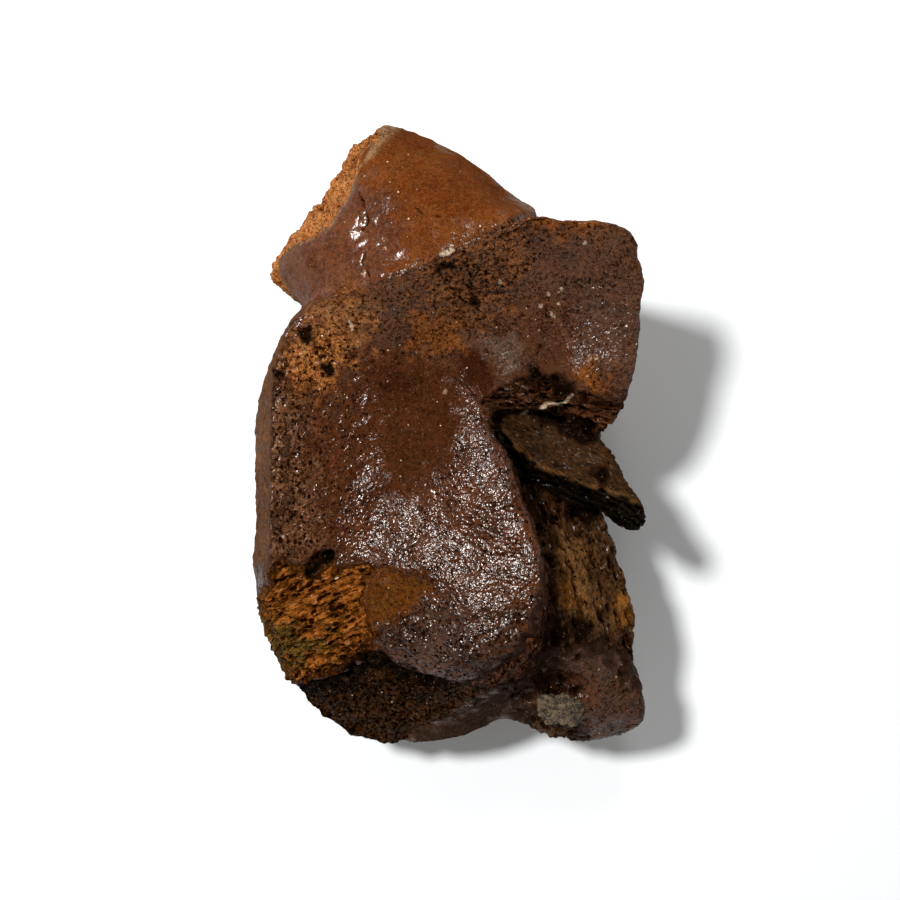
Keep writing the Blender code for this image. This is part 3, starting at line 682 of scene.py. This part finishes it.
def cover_hidden_sides(bone):
    """The hidden sides keep the bone's outer layer, and the underside is broken across."""
    on = bone.on
    covered = on["break_face"] + on["torn"] + on["splinter"] + on["shaft"]
    side = np.clip(on["flank"] - covered, 0.0, 1.0) * (bone.z > 2)
    bone.raised += bone.only(side, lambda at: 0.3 * grain(at, 2.6, 0.0, (1.0, 1.0, 6.0), seed=14.0))
    bone.raised -= bone.only(side, lambda at: np.clip(pores(at, 13.0, seed=2.0) * 4 - 3.2, 0.0, 1.0))
    under = on["underside"] * (bone.up < -0.7)
    bone.raised -= bone.only(under, lambda at: 0.5 + 0.4 * grain(at, 6.0, seed=1.0) + 0.9 * pores(at, 3.4))


def low_rim(bone):
    """The lower rim of the joint surface stands higher, so that it stays level almost up to the rim."""
    rim = LOW_RIM * dome(bone.plan, *RIM)
    return rim * share(bone.z - 87, 10.0) * share(bone.up - 0.3, 0.3)


def laid_over(co, on):
    """The dark colour, the light colour, the finish and the pattern's place at each vertex."""
    dark, light = (np.tile(linear(code), (len(co), 1)) for code in JOINT[:2])
    finish = np.tile(JOINT[2:], (len(co), 1))
    drawn = co.copy()
    for name, _, _, dark_code, light_code, porous, coat, relief, (turn, scale) in FINISHES:
        part = on[name][:, None]
        dark += part * (linear(dark_code) - dark)
        light += part * (linear(light_code) - light)
        finish += part * (np.array((porous, coat, relief)) - finish)
        drawn += part * (turned(co, turn) * scale - drawn)
    return dark, light, finish, drawn


def carve(piece):
    """Gives the smooth bone its relief, and keeps what the material needs at each vertex."""
    mesh = piece.data
    bone = Surface(mesh)
    shape_broadly(bone)
    draw_crest(bone)
    draw_cracks(bone)
    texture_joint(bone, open_the_sponge(bone))
    draw_ridged_patch(bone)
    step_down_ledge(bone)
    tear_shaft(bone)
    draw_splinter(bone)
    cover_hidden_sides(bone)
    moved = bone.co + bone.normal * bone.raised[:, None]
    moved[:, 2] += low_rim(bone)
    moved[:, 2] = np.maximum(moved[:, 2], 0.0)
    mesh.vertices.foreach_set("co", (moved * MM).ravel())

    for name, value in zip(("dark", "light", "finish", "grain"), laid_over(bone.co, bone.on)):
        kept = mesh.attributes.new(name, "FLOAT_VECTOR", "POINT")
        kept.data.foreach_set("vector", value.astype(np.float32).ravel())
    cream = np.clip(bone.reach["cream"] / 0.9 + 0.5, -4.0, 1.0)
    for name, value in (("pit", bone.pits), ("cream", cream)):
        kept = mesh.attributes.new(name, "FLOAT", "POINT")
        kept.data.foreach_set("value", value.astype(np.float32))
    mesh.update()
    return bone.up


def thin_out(piece, up):
    """Draws the sides with fewer triangles, then the whole piece, where it is plain."""
    group = piece.vertex_groups.new(name="sides")
    group.add(np.nonzero(up < 0.1)[0].tolist(), 1.0, "REPLACE")
    facing = np.empty(len(piece.data.polygons) * 3)
    piece.data.polygons.foreach_get("normal", facing)
    drawn = sum(len(face.vertices) - 2 for face in piece.data.polygons)
    on_sides = int(drawn * (facing.reshape(-1, 3)[:, 2] < 0.1).mean())
    spare = max(0, on_sides - SIDE_TRIANGLES)
    for name, ratio, group_name in (
        ("fewer sides", 1.0 - spare / drawn, group.name),
        ("fewer plain", MOST_TRIANGLES / (drawn - spare), ""),
    ):
        fewer = piece.modifiers.new(name, "DECIMATE")
        fewer.ratio = min(1.0, ratio)
        fewer.vertex_group = group_name
        fewer.vertex_group_factor = 1.0
    piece.data = shown_mesh(piece)
    piece.modifiers.clear()
    piece.vertex_groups.clear()
    for face in piece.data.polygons:
        face.use_smooth = True


def new_material(name):
    """A material with its node tree and its shader."""
    material = bpy.data.materials.new(name)
    material.use_nodes = True
    return material, material.node_tree, material.node_tree.nodes["Principled BSDF"]


def add(tree, kind, settings=None, *values, output=None, **inputs):
    """A new node's first output, or the named one. Values fill its open inputs in order or by name."""
    node = tree.nodes.new("ShaderNode" + kind)
    for name, value in (settings or {}).items():
        setattr(node, name, value)
    in_order = [socket for socket in node.inputs if socket.enabled]
    by_name = [(node.inputs[name], value) for name, value in inputs.items()]
    for socket, value in (*zip(in_order, values), *by_name):
        if isinstance(value, bpy.types.NodeSocket):
            tree.links.new(value, socket)
        else:
            socket.default_value = value
    if output:
        return node.outputs[output]
    return next(socket for socket in node.outputs if socket.enabled)


def below(tree, reach, value, sharpness):
    """1 where a value is below its reach, 0 above it."""
    gap = add(tree, "Math", {"operation": "SUBTRACT"}, reach, value)
    return add(tree, "Math", LIMITED, gap, sharpness, 0.0)


def stained(tree, noises, dark, light):
    """Broad stains, mottling at the size of the bone's own structure, specks, and greyer parts."""
    strengths = {"stains": 1.5, "mottling": 2.8, "specks": 2.0}
    tone = 0.5 - sum(strengths.values()) / 2
    for name, strength in strengths.items():
        tone = add(tree, "Math", TIMES_PLUS, noises[name], strength, tone)
    colour = add(tree, "Mix", COLOURS, tone, dark, light)
    greyed = add(tree, "VectorMath", TIMES, colour, (0.82, 1.05, 1.25))
    where = add(tree, "Math", LIMITED, noises["greyed parts"], 4.0, -1.8)
    return add(tree, "Mix", COLOURS, where, colour, greyed)


def opened(tree, noises, uneven, porous):
    """Small pits between shiny islands about 1.5 mm across, and open holes where the bone is spongy."""
    small_reach = add(tree, "Math", TIMES_PLUS, porous, 0.17, 0.205)
    small_reach = add(tree, "Math", TIMES_PLUS, noises["porous parts"], 0.25, small_reach)
    small_pit = below(tree, small_reach, noises["islands"], 10.0)
    hole_reach = add(tree, "Math", TIMES_PLUS, porous, 0.5, -0.42)
    hole_reach = add(tree, "Math", TIMES_PLUS, noises["porous parts"], 0.5, hole_reach)
    cells = add(tree, "TexVoronoi", None, Vector=uneven, Scale=1.0 / 2.3)
    return small_pit, below(tree, hole_reach, cells, 8.0)


def dusted(tree, noises, place, uneven, cream):
    """Cream flecks, pale specks about 0.9 mm across, and fine dust about 0.5 mm across."""
    specks = below(tree, 0.09, add(tree, "TexVoronoi", None, Vector=place, Scale=1.0 / 5.0), 30.0)
    specks = add(tree, "Math", TIMES, specks, add(tree, "Math", LIMITED, noises["dusty parts"], 6.0, -2.7))
    fine_dust = below(tree, 0.17, add(tree, "TexVoronoi", None, Vector=uneven, Scale=1.0 / 1.6), 6.0)
    dust = add(tree, "Math", TIMES_PLUS, fine_dust, 0.28, specks)
    fleck = add(tree, "Math", TIMES_PLUS, cream, 1.0, -0.6)
    fleck = add(tree, "Math", LIMITED, noises["fleck edges"], 1.2, fleck)
    return add(tree, "Math", {"operation": "MAXIMUM", "use_clamp": True}, dust, fleck)


def fossil_bone():
    """Mineral-stained fossil bone. A clear consolidant on it gives small sharp glints between the pores."""
    material, tree, shader = new_material("fossil bone with consolidant")
    dark, light, finish, place, pit, cream = (
        add(tree, "Attribute", {"attribute_name": name}, output=output)
        for name, output in (
            ("dark", "Vector"), ("light", "Vector"), ("finish", "Vector"), ("grain", "Vector"),
            ("pit", "Fac"), ("cream", "Fac"),
        )
    )
    porous, coat, relief = add(tree, "SeparateXYZ", None, finish).node.outputs
    noises = {}
    for name, (size, detail, roughness) in NOISES.items():
        noises[name] = add(
            tree, "TexNoise", None, Vector=place, Scale=1.0 / size, Detail=detail, Roughness=roughness
        )
    unevenness = noises["unevenness"].node.outputs["Color"]
    uneven = add(tree, "VectorMath", TIMES_PLUS, unevenness, (1.6, 1.6, 1.6), place)

    colour = stained(tree, noises, dark, light)
    small_pit, hole = opened(tree, noises, uneven, porous)
    # Pits, cracks and holes are darkened towards a shadow colour: painted shade inside them.
    shade = add(tree, "Math", LIMITED, pit, 1.5, -0.35)
    shade = add(tree, "Math", TIMES_PLUS, hole, 0.95, shade)
    shade = add(tree, "Math", LIMITED, small_pit, 0.7, shade)
    shadow = add(tree, "VectorMath", {"operation": "SCALE"}, dark, 0.22)
    colour = add(tree, "Mix", COLOURS, shade, colour, shadow)
    pale = dusted(tree, noises, place, uneven, cream)
    colour = add(tree, "Mix", COLOURS, pale, colour, (*linear("c4ae94"), 1.0))

    # Relief of the bone itself, and the lower relief of the clear film over it.
    height = add(tree, "Math", TIMES_PLUS, noises["grit"], 0.5, noises["lumps"])
    height = add(tree, "Math", TIMES_PLUS, hole, -1.0, height)
    height = add(tree, "Math", TIMES_PLUS, small_pit, -0.5, height)
    bump = add(tree, "Bump", None, Strength=relief, Distance=0.6 * MM, Height=height)
    film = add(tree, "Math", TIMES_PLUS, noises["broad film"], 0.6, noises["fine film"])
    gloss_bump = add(tree, "Bump", None, Strength=relief, Distance=0.42 * MM, Height=film)
    shine = add(tree, "Math", LIMITED, shade, -1.0, coat)
    for value, socket in (
        (colour, "Base Color"), (shine, "Coat Weight"), (bump, "Normal"), (gloss_bump, "Coat Normal"),
    ):
        tree.links.new(value, shader.inputs[socket])
    shader.inputs["Roughness"].default_value = 0.55
    shader.inputs["Specular IOR Level"].default_value = 0.0
    shader.inputs["Coat Roughness"].default_value = 0.21
    return material


def dried_sediment():
    """Dried silt and fine sand, which is matt and crumbly, with dark grains in it."""
    material, tree, shader = new_material("dried grey sediment")
    place = add(tree, "TexCoord", output="Object")
    lumps = add(tree, "TexNoise", None, Vector=place, Scale=1 / (3.0 * MM), Detail=4.0, Roughness=0.7)
    grit = add(tree, "TexNoise", None, Vector=place, Scale=1 / (0.7 * MM), Detail=2.0, Roughness=0.6)
    tone = add(tree, "Math", TIMES_PLUS, grit, 2.2, -2.25)
    tone = add(tree, "Math", TIMES_PLUS, lumps, 3.0, tone)
    colour = add(tree, "Mix", COLOURS, tone, (*linear("120b05"), 1.0), (*linear("7a674d"), 1.0))
    height = add(tree, "Math", {"operation": "ADD"}, grit, lumps)
    bump = add(tree, "Bump", None, Strength=1.0, Distance=0.5 * MM, Height=height)
    tree.links.new(colour, shader.inputs["Base Color"])
    tree.links.new(bump, shader.inputs["Normal"])
    shader.inputs["Roughness"].default_value = 0.9
    return material


def bone_section():
    """The whole section of bone."""
    piece = finer_copy("bone", "bone_section", BONE_VOXEL, BONE_SOFTENING)
    up = carve(piece)
    thin_out(piece, up)
    piece.data.materials.append(fossil_bone())
    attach(piece, "root")
    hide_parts("bone")


def crust():
    """The lumpy crust of sediment stuck to the shaft, with its underside pushed down onto the bone."""
    piece = finer_copy("sediment_crust", "sediment_lump", CRUST_VOXEL, CRUST_SOFTENING)
    mesh = piece.data
    co, normal = vertices_of(mesh)
    up = normal[:, 2]
    raised = 1.5 * grain(co, 3.4, octaves=4) - 1.2 * pores(co, 3.2, seed=4.0) ** 2
    raised = np.where(up > 0, raised, 0.3)
    co = co + normal * raised[:, None]
    co[:, 2] -= np.where(up < -0.2, 0.9, 0.0)
    mesh.vertices.foreach_set("co", (co * MM).ravel())
    for face in mesh.polygons:
        face.use_smooth = True
    mesh.materials.append(dried_sediment())
    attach(piece, "root")
    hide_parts("sediment_crust")


def stage_floor():
    """A plain matt board, larger than the view. It is faintly blue, so that the warm walls leave it white."""
    bm = bmesh.new()
    bmesh.ops.create_grid(bm, x_segments=1, y_segments=1, size=FLOOR_REACH * MM)
    mesh = bpy.data.meshes.new("floor")
    bm.to_mesh(mesh)
    bm.free()
    floor = bpy.data.objects.new("floor", mesh)
    bpy.context.scene.collection.objects.link(floor)
    material, _, shader = new_material("matt white board")
    shader.inputs["Base Color"].default_value = (*linear("edf1f5"), 1.0)
    shader.inputs["Roughness"].default_value = 0.9
    shader.inputs["Specular IOR Level"].default_value = 0.0
    mesh.materials.append(material)


def set_camera():
    """The camera looks straight down from 0.7 m above the floor."""
    data = bpy.data.cameras.new("camera")
    data.lens = LENS
    data.sensor_width = SENSOR
    data.clip_start = 10.0 * MM
    camera = bpy.data.objects.new("camera", data)
    camera.location = [value * MM for value in CAMERA_PLACE]
    bpy.context.scene.collection.objects.link(camera)
    bpy.context.scene.camera = camera


def set_lamps():
    """One soft key light stands to the upper left, and a weaker one above the elbow's point."""
    for name, toward, width, power in LAMPS:
        lamp = bpy.data.lights.new(name, "AREA")
        lamp.shape = "DISK"
        lamp.size = width * MM
        lamp.energy = power
        lamp.color = LAMP_COLOUR
        light = bpy.data.objects.new(name, lamp)
        direction = Vector(toward)
        light.location = Vector(LAMPS_AIM) * MM + direction.normalized() * (LAMPS_AWAY * MM)
        light.rotation_euler = direction.to_track_quat("Z", "Y").to_euler()
        bpy.context.scene.collection.objects.link(light)


def set_world():
    """Even light from pale walls all round, fading to the dark ceiling."""
    world = bpy.data.worlds.new("warm walls and a dark ceiling")
    world.use_nodes = True
    tree = world.node_tree
    direction = add(tree, "TexCoord", output="Generated")
    height = add(tree, "SeparateXYZ", None, direction, output="Z")
    strength = add(
        tree, "MapRange", {"interpolation_type": "SMOOTHSTEP"}, height, 0.25, 0.75, WALL_LIGHT, CEILING_LIGHT
    )
    background = tree.nodes["Background"]
    background.inputs["Color"].default_value = WALL_COLOUR
    tree.links.new(strength, background.inputs["Strength"])
    bpy.context.scene.world = world
    bpy.context.scene.view_settings.view_transform = "Standard"


set_camera()
set_lamps()
set_world()
stage_floor()
bone_section()
crust()
